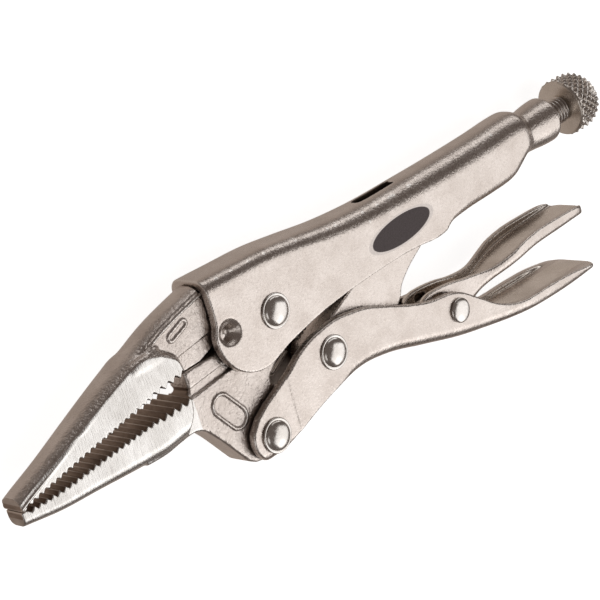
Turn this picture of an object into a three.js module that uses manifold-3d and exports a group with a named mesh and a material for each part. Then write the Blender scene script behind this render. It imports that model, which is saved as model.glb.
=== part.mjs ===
// Long-nose locking pliers, in millimetres. The tool lies on its side: +Z is the pivot direction.
// While it is built, the jaw pivot is the origin, +X runs along the adjusting screw towards the
// knob and +Y points from the lever towards the spine. The last lines move the whole group so
// that the origin is the middle of the bounding box's underside.
import * as THREE from "three";
import { mergeVertices } from "three/addons/utils/BufferGeometryUtils.js";
import Module from "manifold-3d";

const wasm = await Module();
wasm.setup();

// ---- Driving dimensions -------------------------------------------------------------------

// Sheet-metal channels
const SHEET = 2.5;
const CHANNEL_HALF = 7.1;
const SIDE_GAP = 0.3;
const INNER_HALF = CHANNEL_HALF - SHEET;
const TONGUE_HALF = INNER_HALF - SIDE_GAP;
const CORNER_RADIUS = 3.9;

// Pivots, as x and y from the jaw pivot
const JAW_PIVOT = { x: 0, y: 0 };
const LEVER_PIVOT = { x: -11.8, y: -30 };
const LINK_PIVOT = { x: 14.3, y: -19.1 };
const RELEASE_PIVOT = { x: 61.3, y: -29.7 };
const LINK_SEAT = { x: 66.5, y: 2.7 };

// Jaws
const NOSE_LENGTH = 56.7;
const THROAT_X = -31;
const TIP_X = THROAT_X - NOSE_LENGTH;
const TIP_HALF = 3.3;
const THROAT_HALF = 6.5;
const NOSE_HALF = 7.1;
const NOSE_EDGE_DROP = 1.5;
const NOSE_MIDDLE_HALF = 3.6;
const RIDGE_MIDDLE_HALF = 0.6;
const RIDGE_DROP = 1.2;
const BELLY_MIDDLE_HALF = 2.2;
const BELLY_DROP = 2.2;
const FINE_PITCH = 1.92;
const FINE_DEPTH = 1.05;
const COARSE_PITCH = 2.5;
const COARSE_DEPTH = 1.6;
const COARSE_TEETH = 5;
const TOOTH_ROOT_SHARE = 0.45;
const TIP_LAND = 1.4;
const JAW_BOSS_RADIUS = 8.8;
const LEVER_BOSS_RADIUS = 6.2;
const JAW_GAP = 0.4;
const NECK_EDGE_ROUNDING = 1.6;
const NECK_EDGE_DROP = 1;
const HOOK_NOTCH_RADIUS = 2.1;

// Handle, its neck and the screw
const HANDLE_FRONT_X = -18.9;
const HANDLE_REAR_X = 108;
const SPINE_HEIGHT = 8.5;
const CHEEK_DEPTH = 8;
const CHEEK_LOBE_RADIUS = 12.8;
const NECK_START_RADIUS = 8;
const NECK_WALL = 1.5;
const NECK_RADIUS = 6;
const COLLAR_LENGTH = 12;
const COLLAR_RADIUS = 6.5;
const SPINE_SLOT_FRONT_X = 41.8;
const SPINE_SLOT_LENGTH = 14.7;
const SPINE_SLOT_HALF = 1.6;
const SCREW_RADIUS = 4;
const SCREW_GAP = 0.3;
const SCREW_CHAMFER = 1.2;
const THREAD_SHOWING = 7.4;
const KNOB_RADIUS = 8.6;
const KNOB_LENGTH = 12;

// Toggle link
const LINK_PIVOT_END_RADIUS = 5.4;
const LINK_SEAT_RADIUS = 4;
const LINK_SEAT_GAP = 3;

// Lever and release lever tails
const LEVER_TAIL_X = 117.6;
const LEVER_TAIL_HALF = 9.6;
const LEVER_CORNER_RADIUS = 3.4;
const LEVER_LOBE_RADIUS = 6.9;
const LEVER_WEB_X = 20;
const RELEASE_FRONT_X = 50.5;
const RELEASE_CORNER_RADIUS = 2.6;
const RELEASE_TAIL_X = 120.5;
const RELEASE_TAIL_HALF = 7.8;
const RELEASE_SHEET = 1.8;
const RELEASE_GAP = 0.35;
const RELEASE_HALF = INNER_HALF - RELEASE_GAP;
const TAIL_CORNER_RADIUS = 5.5;

// Rivets
const RIVET_RADIUS = 3;
const RIVET_HEAD_RADIUS = 4.75;
const RIVET_RIM = 0.7;
const RIVET_DOME = 1.2;
const RELEASE_RIVET_RADIUS = 2.2;
const RELEASE_HEAD_RADIUS = 3.6;
const PIN_GAP = 0.15;
const HEAD_GAP = 0.1;

// Spring
const SPRING_RADIUS = 2.7;
const SPRING_WIRE = 0.55;
const SPRING_FRONT_HOOK = 11;
const SPRING_REAR_HOOK = 6;
const SPRING_FRONT = { x: -3.6, y: -17.4 };
const SPRING_REAR = { x: 45.5, y: 7.6 };

const ROUND_SIDES = 24;
const CURVE_STEPS = 4;
const FAR = 60;
const LONG_FAR = 200;

// ---- Solids -------------------------------------------------------------------------------

function toSolid(geometry) {
  const bare = geometry.clone();
  bare.deleteAttribute("normal");
  bare.deleteAttribute("uv");
  const merged = mergeVertices(bare, 1e-4);
  const mesh = new wasm.Mesh({
    numProp: 3,
    vertProperties: new Float32Array(merged.attributes.position.array),
    triVerts: new Uint32Array(merged.index.array),
  });
  return new wasm.Manifold(mesh);
}

function toGeometry(manifold) {
  const mesh = manifold.getMesh();
  const geometry = new THREE.BufferGeometry();
  geometry.setAttribute("position", new THREE.BufferAttribute(mesh.vertProperties, 3));
  geometry.setIndex(new THREE.BufferAttribute(mesh.triVerts, 1));
  geometry.computeVertexNormals();
  return geometry;
}

function polygon(points) {
  return new THREE.Shape(points.map(([x, y]) => new THREE.Vector2(x, y)));
}

function through(points, divisions) {
  const curve = new THREE.SplineCurve(points.map(([x, y]) => new THREE.Vector2(x, y)));
  return curve.getPoints(divisions).map((point) => [point.x, point.y]);
}

function arc(centre, radius, fromDegrees, toDegrees, steps) {
  const points = [];
  for (let step = 0; step <= steps; step += 1) {
    const angle = THREE.MathUtils.degToRad(fromDegrees + ((toDegrees - fromDegrees) * step) / steps);
    points.push([centre.x + radius * Math.cos(angle), centre.y + radius * Math.sin(angle)]);
  }
  return points;
}

// A side outline made solid between two heights.
function plate(shape, low, high) {
  const geometry = new THREE.ExtrudeGeometry(shape, { depth: high - low, bevelEnabled: false });
  geometry.translate(0, 0, low);
  return toSolid(geometry);
}

// A side outline with both long edges rounded, centred on the middle plane.
function roundedPlate(shape, half, flatHalf, drop) {
  const geometry = new THREE.ExtrudeGeometry(shape, {
    depth: 2 * flatHalf,
    bevelEnabled: true,
    bevelThickness: half - flatHalf,
    bevelSize: drop,
    bevelOffset: -drop,
    bevelSegments: CURVE_STEPS,
  });
  geometry.translate(0, 0, -flatHalf);
  return toSolid(geometry);
}

// A plan outline, drawn in x and z, made solid between two values of y.
function planBlock(points, low, high) {
  const geometry = new THREE.ExtrudeGeometry(polygon(points), { depth: high - low, bevelEnabled: false });
  geometry.rotateX(Math.PI / 2);
  geometry.translate(0, high, 0);
  return toSolid(geometry);
}

function planBox(fromX, toX, half, low, high) {
  return planBlock([[fromX, -half], [toX, -half], [toX, half], [fromX, half]], low, high);
}

// A turned shape about a line along x; the profile is a list of x and radius.
function turnedAlongX(profile, y) {
  const points = profile.map(([x, radius]) => new THREE.Vector2(radius, x));
  const geometry = new THREE.LatheGeometry(points, ROUND_SIDES);
  geometry.rotateZ(-Math.PI / 2);
  geometry.translate(0, y, 0);
  return toSolid(geometry);
}

// A turned shape about a pivot; the profile is a list of radius and height, mirrored when side is -1.
function turnedAtPivot(profile, centre, side = 1) {
  const points = profile.map(([radius, height]) => new THREE.Vector2(radius, side * height));
  if (side < 0) points.reverse();
  const geometry = new THREE.LatheGeometry(points, ROUND_SIDES);
  geometry.rotateX(Math.PI / 2);
  geometry.translate(centre.x, centre.y, 0);
  return toSolid(geometry);
}

// A hole right through the tool for a pin, with running clearance.
function pinHole(centre, pinRadius) {
  const radius = pinRadius + PIN_GAP;
  return turnedAtPivot([[0, -FAR], [radius, -FAR], [radius, FAR], [0, FAR]], centre);
}

// Height of a smooth line at x, through a few stations of x and y.
function heightAt(stations, x) {
  const last = stations.length - 1;
  let index = 0;
  while (index < last - 1 && x > stations[index + 1][0]) index += 1;
  const [x0, y0] = stations[index];
  const [x1, y1] = stations[index + 1];
  const before = stations[Math.max(index - 1, 0)];
  const after = stations[Math.min(index + 2, last)];
  const slope0 = (y1 - before[1]) / (x1 - before[0]);
  const slope1 = (after[1] - y0) / (after[0] - x0);
  const width = x1 - x0;
  const t = THREE.MathUtils.clamp((x - x0) / width, 0, 1);
  const a = 2 * t ** 3 - 3 * t ** 2 + 1;
  const b = t ** 3 - 2 * t ** 2 + t;
  const c = -2 * t ** 3 + 3 * t ** 2;
  const d = t ** 3 - t ** 2;
  return a * y0 + b * width * slope0 + c * y1 + d * width * slope1;
}

// Section of a folded sheet: a web at v = 0 with two legs rising to v = legs.
function channelSection(half, sheet, legs, outerRadius) {
  const innerRadius = Math.max(outerRadius - sheet, 0.4);
  const innerHalf = half - sheet;
  const outer = [
    [half, legs],
    ...arc({ x: half - outerRadius, y: outerRadius }, outerRadius, 0, -90, CURVE_STEPS),
    ...arc({ x: outerRadius - half, y: outerRadius }, outerRadius, -90, -180, CURVE_STEPS),
    [-half, legs],
  ];
  const inner = [
    [-innerHalf, legs],
    ...arc({ x: innerRadius - innerHalf, y: sheet + innerRadius }, innerRadius, 180, 270, CURVE_STEPS - 1),
    ...arc({ x: innerHalf - innerRadius, y: sheet + innerRadius }, innerRadius, 270, 360, CURVE_STEPS - 1),
    [innerHalf, legs],
  ];
  return polygon([...outer, ...inner]);
}

// A channel run along x. The line gives the web's outer face and the width scales its half width.
function channel(section, fromX, toX, steps, line, width, up) {
  const geometry = new THREE.ExtrudeGeometry(section, { depth: toX - fromX, steps, bevelEnabled: false });
  const position = geometry.attributes.position;
  for (let index = 0; index < position.count; index += 1) {
    const x = fromX + position.getZ(index);
    const across = position.getX(index) * width(x);
    const v = position.getY(index);
    position.setXYZ(index, x, line(x) + (up ? v : -v), up ? -across : across);
  }
  return toSolid(geometry);
}

// Plan outline of a pressed tail with round corners, open towards the front.
function tailPlan(tailX, half) {
  const corner = { x: tailX - TAIL_CORNER_RADIUS, y: half - TAIL_CORNER_RADIUS };
  const far = arc(corner, TAIL_CORNER_RADIUS, 90, 0, CURVE_STEPS);
  const near = far.map(([x, z]) => [x, -z]).reverse();
  return [[-FAR, half], ...far, ...near, [-FAR, -half]];
}

// ---- Upper handle -------------------------------------------------------------------------

const COLLAR_END_X = HANDLE_REAR_X + COLLAR_LENGTH;
const SCREW_AXIS_Y = LINK_SEAT.y;
const SPINE_REAR_Y = SCREW_AXIS_Y + SPINE_HEIGHT;
const SCREW_BORE = SCREW_RADIUS + SCREW_GAP;
const SPINE_LINE = [
  [HANDLE_FRONT_X, 17.1],
  [-8, 16.5],
  [4, 15.8],
  [15, 14.3],
  [27, 12.5],
  [40, SPINE_REAR_Y + 0.2],
  [60, SPINE_REAR_Y - 0.1],
  [HANDLE_REAR_X - 18, SPINE_REAR_Y - 0.1],
  [HANDLE_REAR_X - 5, SPINE_REAR_Y + 0.2],
  [HANDLE_REAR_X, SPINE_REAR_Y - 0.9],
];
const CHEEK_LOBE = { x: -7.7, y: 0.4 };

const spineY = (x) => heightAt(SPINE_LINE, x);

function cheekOutline() {
  const lowerEdge = through(
    [[-2.6, -11.4], [2.5, -9.9], [13.6, -7.9], [24, -6.9], [34, -6.5], [45.8, -6.5]],
    12,
  );
  const rearY = SCREW_AXIS_Y - CHEEK_DEPTH;
  return polygon([
    [HANDLE_FRONT_X, FAR],
    [HANDLE_FRONT_X, 8],
    [HANDLE_FRONT_X - 0.4, 4.6],
    ...arc(CHEEK_LOBE, CHEEK_LOBE_RADIUS, 176, 294, 16),
    ...lowerEdge.slice(1),
    [60.5, -7.7],
    [65.4, -7.7],
    [67.2, -7],
    [68.6, -6.1],
    [HANDLE_REAR_X - 20, rearY - 0.3],
    [HANDLE_REAR_X - 8, rearY + 0.2],
    [HANDLE_REAR_X - 4, rearY + 2],
    [HANDLE_REAR_X, rearY + 6],
    [HANDLE_REAR_X, FAR],
  ]);
}

function neckProfile() {
  return [
    [HANDLE_REAR_X - 8, 0],
    [HANDLE_REAR_X - 8, NECK_START_RADIUS],
    [HANDLE_REAR_X - 4.5, NECK_START_RADIUS - 0.1],
    [HANDLE_REAR_X - 1.5, NECK_START_RADIUS - 0.8],
    [HANDLE_REAR_X + 3, NECK_RADIUS],
    [HANDLE_REAR_X + 5, NECK_RADIUS + 0.2],
    [HANDLE_REAR_X + 7, COLLAR_RADIUS],
    [COLLAR_END_X - 1.6, COLLAR_RADIUS],
    [COLLAR_END_X - 0.5, COLLAR_RADIUS - 0.5],
    [COLLAR_END_X, COLLAR_RADIUS - 1.5],
    [COLLAR_END_X, 0],
  ];
}

// The neck is pressed from the channel, so it is never wider than the channel.
function neck() {
  const widest = planBox(0, LONG_FAR, CHANNEL_HALF, -FAR, FAR);
  return turnedAlongX(neckProfile(), SCREW_AXIS_Y).intersect(widest);
}

// The screw's way: a threaded bore in the neck that opens out into the channel.
function screwWay() {
  const boreX = LINK_SEAT.x;
  const bore = turnedAlongX(
    [[boreX, 0], [boreX, SCREW_BORE], [LONG_FAR, SCREW_BORE], [LONG_FAR, 0]],
    SCREW_AXIS_Y,
  );
  const wide = CHANNEL_HALF - NECK_WALL;
  const mouthX = HANDLE_REAR_X - 13;
  const mouth = [
    [mouthX, 0],
    [mouthX, wide],
    [HANDLE_REAR_X - 6, wide],
    [HANDLE_REAR_X, SCREW_BORE],
    [HANDLE_REAR_X, 0],
  ];
  return bore.add(turnedAlongX(mouth, SCREW_AXIS_Y));
}

function upperHandle() {
  const section = channelSection(CHANNEL_HALF, SHEET, FAR, CORNER_RADIUS);
  const run = channel(section, HANDLE_FRONT_X - 3, HANDLE_REAR_X, 26, spineY, () => 1, false);
  let body = run.intersect(plate(cheekOutline(), -FAR, FAR)).add(neck()).subtract(screwWay());
  body = body.subtract(pinHole(JAW_PIVOT, RIVET_RADIUS)).subtract(springSlot());
  for (const side of [-1, 1]) body = body.add(dimpleBump(side)).subtract(dimplePit(side));
  return body;
}

// Slot in the spine that the spring's rear hook is held in.
function springSlot() {
  const rearX = SPINE_SLOT_FRONT_X + SPINE_SLOT_LENGTH;
  return planBox(SPINE_SLOT_FRONT_X, rearX, SPINE_SLOT_HALF, SCREW_AXIS_Y, FAR);
}

// Staked dimples that lock the upper jaw between the cheeks.
const DIMPLE = { x: -15.3, y: 1.6 };
const DIMPLE_RADIUS = 2.9;
const DIMPLE_NOSE_RADIUS = 1.2;
const DIMPLE_PIT_RADIUS = 0.4;
const DIMPLE_REACH = 1.2;
const DIMPLE_WALL = 0.9;
const DIMPLE_SINK = 0.5;

function dimpleBump(side) {
  const tipZ = INNER_HALF - DIMPLE_REACH;
  const rootZ = CHANNEL_HALF - DIMPLE_SINK;
  const profile = [[0, tipZ], [DIMPLE_NOSE_RADIUS, tipZ], [DIMPLE_RADIUS, rootZ], [0, rootZ]];
  return turnedAtPivot(profile, DIMPLE, side);
}

function dimplePit(side) {
  const floorZ = INNER_HALF - DIMPLE_REACH + DIMPLE_WALL;
  const wall = [[DIMPLE_RADIUS, CHANNEL_HALF], [DIMPLE_RADIUS, FAR]];
  return turnedAtPivot([[0, floorZ], [DIMPLE_PIT_RADIUS, floorZ], ...wall, [0, FAR]], DIMPLE, side);
}

function dimpleSocket(side) {
  const tipZ = INNER_HALF - DIMPLE_REACH - SIDE_GAP;
  const radius = DIMPLE_RADIUS + SIDE_GAP;
  const wall = [[radius, INNER_HALF], [radius, FAR]];
  return turnedAtPivot([[0, tipZ], [DIMPLE_NOSE_RADIUS + SIDE_GAP, tipZ], ...wall, [0, FAR]], DIMPLE, side);
}

// ---- Jaws ---------------------------------------------------------------------------------

// A point on the nose: share runs from 0 at the throat to 1 at the tip.
const noseX = (share) => THROAT_X - share * NOSE_LENGTH;
const BEYOND_TIP_X = noseX(1.2);

const RIDGE = [
  [noseX(1.08), -9.8],
  [noseX(1), -7.6],
  [noseX(0.8), -3.4],
  [noseX(0.6), 1.2],
  [noseX(0.42), 5.2],
  [noseX(0.3), 7.6],
  [noseX(0.2), 9.6],
  [noseX(0.08), 12.1],
  [-23.5, 15.1],
  [HANDLE_FRONT_X, 16],
];
const UPPER_NOSE_TOP = [
  [noseX(1.08), -10.2],
  [noseX(1), -8.3],
  [noseX(0.8), -3.9],
  [noseX(0.6), 0.9],
  [noseX(0.42), 5.3],
  [noseX(0.32), 7.2],
  [noseX(0.22), 7.9],
  [noseX(0.13), 6.6],
  [noseX(0.05), 3.6],
  [noseX(0.01), -0.4],
];
const LOWER_NOSE_BOTTOM = [
  [noseX(1.08), -13.4],
  [noseX(1), -14.4],
  [noseX(0.8), -16.6],
  [noseX(0.6), -17.6],
  [noseX(0.34), -18.7],
  [noseX(0.22), -19],
  [noseX(0.1), -18.2],
];
const LOWER_NOSE_END = [
  [noseX(0.1), -18.2],
  [noseX(0.045), -14.6],
  [noseX(0.02), -11.5],
  [noseX(0.01), -7],
];
const LOWER_NECK_FRONT = [
  [-30.6, -19.4],
  [-28.4, -22],
  [-26, -25.2],
  [-22, -31.2],
  [-20.4, -33.4],
  [-18, -35],
];
const UPPER_CRESTS = [
  [noseX(1), -10.75],
  [noseX(0.77), -8.7],
  [noseX(0.53), -6.3],
  [noseX(0.22), -3.3],
  [noseX(0), -1.9],
];
const LOWER_CRESTS = [
  [noseX(1), -11.25],
  [noseX(0.77), -10.9],
  [noseX(0.53), -9.6],
  [noseX(0.22), -8.3],
  [noseX(0), -7.8],
];
const TONGUE_TOP_Y = -2.5;

// Points of the toothed edge from tip to throat. The teeth end on the crest line, and their roots
// lie the tooth depth away from it.
function toothLine(crests, direction, endX) {
  const landX = TIP_X + TIP_LAND;
  const points = [[BEYOND_TIP_X, heightAt(crests, TIP_X)], [landX, heightAt(crests, landX)]];
  const coarseStart = endX - COARSE_TEETH * COARSE_PITCH;
  const fineCount = Math.floor((coarseStart - landX) / FINE_PITCH);
  const fineStart = coarseStart - fineCount * FINE_PITCH;
  const addTeeth = (start, count, pitch, depth) => {
    for (let tooth = 0; tooth < count; tooth += 1) {
      const root = start + (tooth + TOOTH_ROOT_SHARE) * pitch;
      const crest = start + (tooth + 1) * pitch;
      points.push([root, heightAt(crests, root) + direction * depth]);
      points.push([crest, heightAt(crests, crest)]);
    }
  };
  addTeeth(fineStart, fineCount, FINE_PITCH, FINE_DEPTH);
  addTeeth(coarseStart, COARSE_TEETH, COARSE_PITCH, COARSE_DEPTH);
  return points;
}

// What the two ground flats and the cut tip leave: a plan wedge that narrows to the tip.
function groundNose() {
  return planBlock(
    [
      [TIP_X, -TIP_HALF],
      [THROAT_X, -THROAT_HALF],
      [FAR, -THROAT_HALF],
      [FAR, THROAT_HALF],
      [THROAT_X, THROAT_HALF],
      [TIP_X, TIP_HALF],
    ],
    -FAR,
    FAR,
  );
}

// A jaw is a thick ground nose joined to a thinner plate behind it, cut to one side outline.
function jawBlank(noseOutline, noseMiddleHalf, noseDrop, back, side) {
  const nose = roundedPlate(noseOutline, NOSE_HALF, noseMiddleHalf, noseDrop);
  return nose.add(back).intersect(groundNose()).intersect(plate(side, -FAR, FAR));
}

function upperJaw() {
  const frontX = HANDLE_FRONT_X - JAW_GAP;
  const bottomY = TONGUE_TOP_Y + JAW_GAP;
  const below = [[BEYOND_TIP_X, -FAR], [BEYOND_TIP_X, -12]];
  const noseOutline = polygon([...through(UPPER_NOSE_TOP, 24), [noseX(0.01), -FAR], ...below]);
  const backOutline = polygon([...through(RIDGE, 20), [FAR, 16], [FAR, -FAR], ...below]);
  const side = polygon([
    ...toothLine(UPPER_CRESTS, 1, THROAT_X - JAW_GAP),
    [THROAT_X - JAW_GAP, bottomY],
    [-25, bottomY],
    [frontX - 1, bottomY + 1.4],
    [frontX - 1, FAR],
    [BEYOND_TIP_X, FAR],
  ]);
  const back = roundedPlate(backOutline, TONGUE_HALF, RIDGE_MIDDLE_HALF, RIDGE_DROP);
  const blank = jawBlank(noseOutline, NOSE_MIDDLE_HALF, NOSE_EDGE_DROP, back, side);
  let jaw = blank.add(plate(upperTongue(frontX, bottomY), -TONGUE_HALF, TONGUE_HALF));
  for (const face of [-1, 1]) jaw = jaw.subtract(dimpleSocket(face));
  return jaw;
}

// The upper jaw's tongue, held between the cheeks in front of the lower jaw's boss.
function upperTongue(frontX, bottomY) {
  const spineGap = SHEET + JAW_GAP + SIDE_GAP;
  const underSpine = (x) => [x, spineY(x) - spineGap];
  const startX = frontX - 4;
  return polygon([
    [startX, bottomY + 1],
    [-9, bottomY + 3],
    ...arc(JAW_PIVOT, JAW_BOSS_RADIUS + JAW_GAP, 172, 100, 8),
    underSpine(-1.6),
    underSpine(-8),
    underSpine(HANDLE_FRONT_X),
    [startX, spineY(HANDLE_FRONT_X) - spineGap - 2],
  ]);
}

function lowerJaw() {
  const bottom = through(LOWER_NOSE_BOTTOM, 20);
  const noseEnd = through(LOWER_NOSE_END, 8).slice(1);
  const bossBottom = arc(LEVER_PIVOT, LEVER_BOSS_RADIUS, 262, 350, 8);
  const above = [[BEYOND_TIP_X, FAR], [BEYOND_TIP_X, -12]];
  const noseOutline = polygon([...bottom, ...noseEnd, [noseX(0.01), FAR], ...above]);
  const lowerEdge = [...bottom, ...LOWER_NECK_FRONT, ...bossBottom];
  const neckOutline = polygon([...lowerEdge, [FAR, LEVER_PIVOT.y], [FAR, FAR], ...above]);
  const side = polygon([
    ...lowerEdge,
    [LEVER_PIVOT.x + LEVER_BOSS_RADIUS, LEVER_PIVOT.y + 5],
    ...arc(SPRING_FRONT, HOOK_NOTCH_RADIUS, 230, 110, 6),
    [-0.5, -12.6],
    ...arc(JAW_PIVOT, JAW_BOSS_RADIUS, -62, 188, 24),
    [-9.5, TONGUE_TOP_Y],
    [THROAT_X, TONGUE_TOP_Y],
    ...toothLine(LOWER_CRESTS, -1, THROAT_X).reverse(),
  ]);
  const flatHalf = TONGUE_HALF - NECK_EDGE_ROUNDING;
  const back = roundedPlate(neckOutline, TONGUE_HALF, flatHalf, NECK_EDGE_DROP);
  const jaw = jawBlank(noseOutline, BELLY_MIDDLE_HALF, BELLY_DROP, back, side);
  return jaw.subtract(pinHole(JAW_PIVOT, RIVET_RADIUS)).subtract(pinHole(LEVER_PIVOT, RIVET_RADIUS));
}

// ---- Lever --------------------------------------------------------------------------------

const LEVER_WEB = [
  [LEVER_WEB_X - 4, -28.4],
  [24, -28.3],
  [34, -29.6],
  [47, -33.5],
  [62, -38],
  [75, -40.7],
  [88, -42.2],
  [LEVER_TAIL_X - 13.6, -42.9],
  [LEVER_TAIL_X, -42.6],
];
const LEVER_RIM = [
  [-1.5, -16.9],
  [3, -14.3],
  [8, -12.5],
  [13, -11.7],
  [18, -11.4],
  [24, -12.2],
  [31, -14],
  [44, -19.7],
  [52, -22.5],
  [60, -23.9],
  [64.5, -25.8],
  [70, -30],
  [75, -34],
  [80, -36.6],
  [86, -37.9],
  [LEVER_TAIL_X - 22.6, -38.2],
  [LEVER_TAIL_X - 13.6, -38.8],
  [LEVER_TAIL_X - 5.6, -40.1],
  [LEVER_TAIL_X, -41.5],
];
const LEVER_LOBE = { x: LEVER_PIVOT.x - 0.5, y: LEVER_PIVOT.y + 0.4 };
const CHEEK_END_X = LEVER_WEB_X + 6;
const webY = (x) => heightAt(LEVER_WEB, x);
const tailWidening = (x, wide, fromX, toX) => 1 + (wide - 1) * THREE.MathUtils.smoothstep(x, fromX, toX);
const leverWidth = (x) => tailWidening(x, LEVER_TAIL_HALF / CHANNEL_HALF, 68, 90);

// The front of the lever is two flat cheeks, before its web starts.
function leverCheek() {
  const lowerEdge = through(
    [[-7, -34.4], [4, -30.9], [12.7, -28.8], [19, -28.2], [23, -27], [CHEEK_END_X, -24.5]],
    10,
  );
  return polygon([
    ...arc(LEVER_LOBE, LEVER_LOBE_RADIUS, 150, 310, 14),
    ...lowerEdge.slice(1),
    [CHEEK_END_X, -20],
    ...through(LEVER_RIM, 40).filter(([x]) => x < CHEEK_END_X).reverse(),
    [-7, -19.3],
    [-11.6, -21.2],
    [-15.4, -23.3],
  ]);
}

function lowerLever() {
  const section = channelSection(CHANNEL_HALF, SHEET, FAR, LEVER_CORNER_RADIUS);
  const run = channel(section, LEVER_WEB_X - 2, LEVER_TAIL_X + 1, 28, webY, leverWidth, true);
  const rim = through(LEVER_RIM, 40).filter(([x]) => x > LEVER_WEB_X - 6);
  const below = polygon([...rim, [LEVER_TAIL_X + 5, -41.6], [LEVER_TAIL_X + 5, -FAR], [rim[0][0], -FAR]]);
  const webEnd = arc({ x: LEVER_WEB_X - 1, y: 0 }, INNER_HALF, -90, 90, 8);
  let body = run.intersect(plate(below, -FAR, FAR));
  body = body.intersect(planBlock(tailPlan(LEVER_TAIL_X, LEVER_TAIL_HALF), -FAR, FAR));
  for (const low of [INNER_HALF, -CHANNEL_HALF]) body = body.add(plate(leverCheek(), low, low + SHEET));
  body = body.subtract(planBlock([[-FAR, -INNER_HALF], ...webEnd, [-FAR, INNER_HALF]], -FAR, FAR));
  for (const pivot of [LEVER_PIVOT, LINK_PIVOT]) body = body.subtract(pinHole(pivot, RIVET_RADIUS));
  return body.subtract(pinHole(RELEASE_PIVOT, RELEASE_RIVET_RADIUS));
}

// ---- Toggle link --------------------------------------------------------------------------

// The link is drawn along the line from its pivot to its seat behind the screw.
function toggleLink() {
  const along = new THREE.Vector2(LINK_SEAT.x - LINK_PIVOT.x, LINK_SEAT.y - LINK_PIVOT.y);
  const length = along.length();
  const turn = along.angle();
  const place = ([s, d]) => [
    LINK_PIVOT.x + s * Math.cos(turn) - d * Math.sin(turn),
    LINK_PIVOT.y + s * Math.sin(turn) + d * Math.cos(turn),
  ];
  const pivotEnd = arc({ x: 0, y: 0 }, LINK_PIVOT_END_RADIUS, 110, 262, 10);
  const seatEnd = arc({ x: length, y: 0 }, LINK_SEAT_RADIUS, -90, 90, 8);
  const foot = through(
    [[12, -6.2], [19, -8.6], [24.5, -11.8], [28.6, -10.6], [31.5, -8.6], [37, -7.2], [45, -6.4], [52, -4.8]],
    16,
  );
  const top = [[length - 12, 4.6], [20, 5.2], [5, 5.2]];
  const outline = polygon([...pivotEnd, ...foot, ...seatEnd, ...top].map(place));
  const body = plate(outline, -TONGUE_HALF, TONGUE_HALF);
  return body.subtract(pinHole(LINK_PIVOT, RIVET_RADIUS));
}

// ---- Release lever ------------------------------------------------------------------------

const RELEASE_WEB = [
  [RELEASE_FRONT_X - 5, -26],
  [RELEASE_FRONT_X + 1.5, -30.6],
  [58, -33.6],
  [66, -33.6],
  [75, -30.2],
  [86, -28.2],
  [RELEASE_TAIL_X - 24.5, -26.8],
  [RELEASE_TAIL_X - 12.5, -26.6],
  [RELEASE_TAIL_X, -26.4],
];
const RELEASE_RIM = [
  [RELEASE_FRONT_X, -24.2],
  [RELEASE_FRONT_X + 1.6, -22.6],
  [RELEASE_FRONT_X + 4.5, -21.8],
  [60, -22.1],
  [65, -22.9],
  [70, -24.1],
  [79, -25.3],
  [86, -24.4],
  [RELEASE_TAIL_X - 28.5, -23],
  [RELEASE_TAIL_X - 21.5, -22.3],
  [RELEASE_TAIL_X - 12.5, -23.1],
  [RELEASE_TAIL_X + 1, -24.6],
];
const releaseWebY = (x) => heightAt(RELEASE_WEB, x);
const releaseWidth = (x) => tailWidening(x, RELEASE_TAIL_HALF / RELEASE_HALF, 70, 92);

function releaseLever() {
  const section = channelSection(RELEASE_HALF, RELEASE_SHEET, FAR, RELEASE_CORNER_RADIUS);
  const startX = RELEASE_FRONT_X - 1;
  const endX = RELEASE_TAIL_X + 0.5;
  const run = channel(section, startX, endX, 24, releaseWebY, releaseWidth, true);
  const below = polygon([...through(RELEASE_RIM, 32), [RELEASE_TAIL_X + 5, -FAR], [RELEASE_FRONT_X, -FAR]]);
  const body = run
    .intersect(plate(below, -FAR, FAR))
    .intersect(planBlock(tailPlan(RELEASE_TAIL_X, RELEASE_TAIL_HALF), -FAR, FAR));
  return body.subtract(pinHole(RELEASE_PIVOT, RELEASE_RIVET_RADIUS));
}

// ---- Rivets, screw, knob and spring -------------------------------------------------------

function rivet(centre, shankRadius, headRadius) {
  const seat = CHANNEL_HALF + HEAD_GAP;
  const domeRadius = headRadius * 0.6;
  const half = [
    [headRadius, seat],
    [headRadius - 0.2, seat + RIVET_RIM * 0.6],
    [domeRadius, seat + RIVET_RIM],
    [domeRadius * 0.8, seat + RIVET_RIM + RIVET_DOME * 0.75],
    [0, seat + RIVET_RIM + RIVET_DOME],
  ];
  const mirrored = half.map(([radius, height]) => [radius, -height]).reverse();
  return turnedAtPivot([...mirrored, [shankRadius, -seat], [shankRadius, seat], ...half], centre);
}

const KNOB_FACE_X = COLLAR_END_X + THREAD_SHOWING;
const SCREW_START_X = LINK_SEAT.x + LINK_SEAT_RADIUS + LINK_SEAT_GAP;

function adjustingScrew() {
  const endX = KNOB_FACE_X - SIDE_GAP;
  const profile = [
    [SCREW_START_X, 0],
    [SCREW_START_X, SCREW_RADIUS - SCREW_CHAMFER],
    [SCREW_START_X + SCREW_CHAMFER, SCREW_RADIUS],
    [endX, SCREW_RADIUS],
    [endX, 0],
  ];
  return turnedAlongX(profile, SCREW_AXIS_Y);
}

function screwKnob() {
  const rearX = KNOB_FACE_X + KNOB_LENGTH;
  const profile = [
    [KNOB_FACE_X, 0],
    [KNOB_FACE_X, KNOB_RADIUS - 0.5],
    [KNOB_FACE_X + 0.7, KNOB_RADIUS],
    [rearX - 5, KNOB_RADIUS],
    [rearX - 2.8, KNOB_RADIUS - 1],
    [rearX - 1.1, KNOB_RADIUS - 2.9],
    [rearX, KNOB_RADIUS - 5.8],
    [rearX, 0],
  ];
  return turnedAlongX(profile, SCREW_AXIS_Y);
}

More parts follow.
